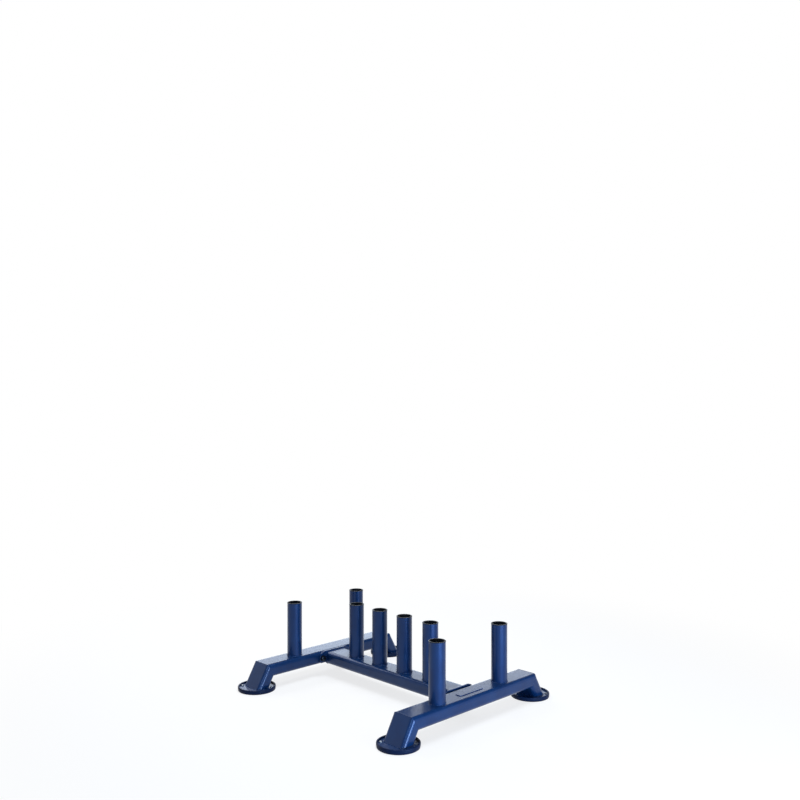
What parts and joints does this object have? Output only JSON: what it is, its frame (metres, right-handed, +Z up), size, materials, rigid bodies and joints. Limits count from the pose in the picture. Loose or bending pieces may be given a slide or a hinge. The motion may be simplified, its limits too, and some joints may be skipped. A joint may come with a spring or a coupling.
{
  "type": "barbell storage rack",
  "caption": "Floor-standing upright rack on an H-shaped base of box section, with round rubber feet and open-topped tubes that hold long bars on end.",
  "frame": {"origin": "on the floor, at the middle of the base's footprint", "axes": "+X along the centre beam from the left cross rail to the right one, +Y along the cross rails towards the back, +Z up"},
  "size_m": [0.96, 0.867, 0.3166],
  "materials": {
    "frame_paint": "gloss powder coat, dark blue",
    "holder_paint": "gloss powder coat, dark blue",
    "liner_plastic": "moulded, satin",
    "pad_rubber": "cut sheet, matte",
    "foot_rubber": "moulded, satin",
    "black_steel": "black oxide, oiled",
    "zinc_steel": "bright zinc plate",
    "name_plate_paint": "gloss, blank"
  },
  "bodies": {
    "root": {"left_rail": "frame_paint", "right_rail": "frame_paint", "left_front_leg": "frame_paint", "left_back_leg": "frame_paint", "right_front_leg": "frame_paint", "right_back_leg": "frame_paint", "centre_beam": "frame_paint", "left_end_plate": "frame_paint", "right_end_plate": "frame_paint", "left_front_holder": "holder_paint", "left_back_holder": "holder_paint", "right_front_holder": "holder_paint", "right_back_holder": "holder_paint", "beam_holder_1": "holder_paint", "beam_holder_2": "holder_paint", "beam_holder_3": "holder_paint", "beam_holder_4": "holder_paint", "left_front_liner": "liner_plastic", "left_back_liner": "liner_plastic", "right_front_liner": "liner_plastic", "right_back_liner": "liner_plastic", "beam_liner_1": "liner_plastic", "beam_liner_2": "liner_plastic", "beam_liner_3": "liner_plastic", "beam_liner_4": "liner_plastic", "left_front_pad": "pad_rubber", "left_back_pad": "pad_rubber", "right_front_pad": "pad_rubber", "right_back_pad": "pad_rubber", "beam_pad_1": "pad_rubber", "beam_pad_2": "pad_rubber", "beam_pad_3": "pad_rubber", "beam_pad_4": "pad_rubber", "left_front_foot_plate": "frame_paint", "left_back_foot_plate": "frame_paint", "right_front_foot_plate": "frame_paint", "right_back_foot_plate": "frame_paint", "left_front_foot": "foot_rubber", "left_back_foot": "foot_rubber", "right_front_foot": "foot_rubber", "right_back_foot": "foot_rubber", "foot_screws": "zinc_steel", "left_joint_bolts": "black_steel", "right_joint_bolts": "black_steel", "left_joint_washers": "black_steel", "right_joint_washers": "black_steel", "left_joint_nuts": "zinc_steel", "right_joint_nuts": "zinc_steel", "name_plate": "name_plate_paint"}
  },
  "joints": []
}
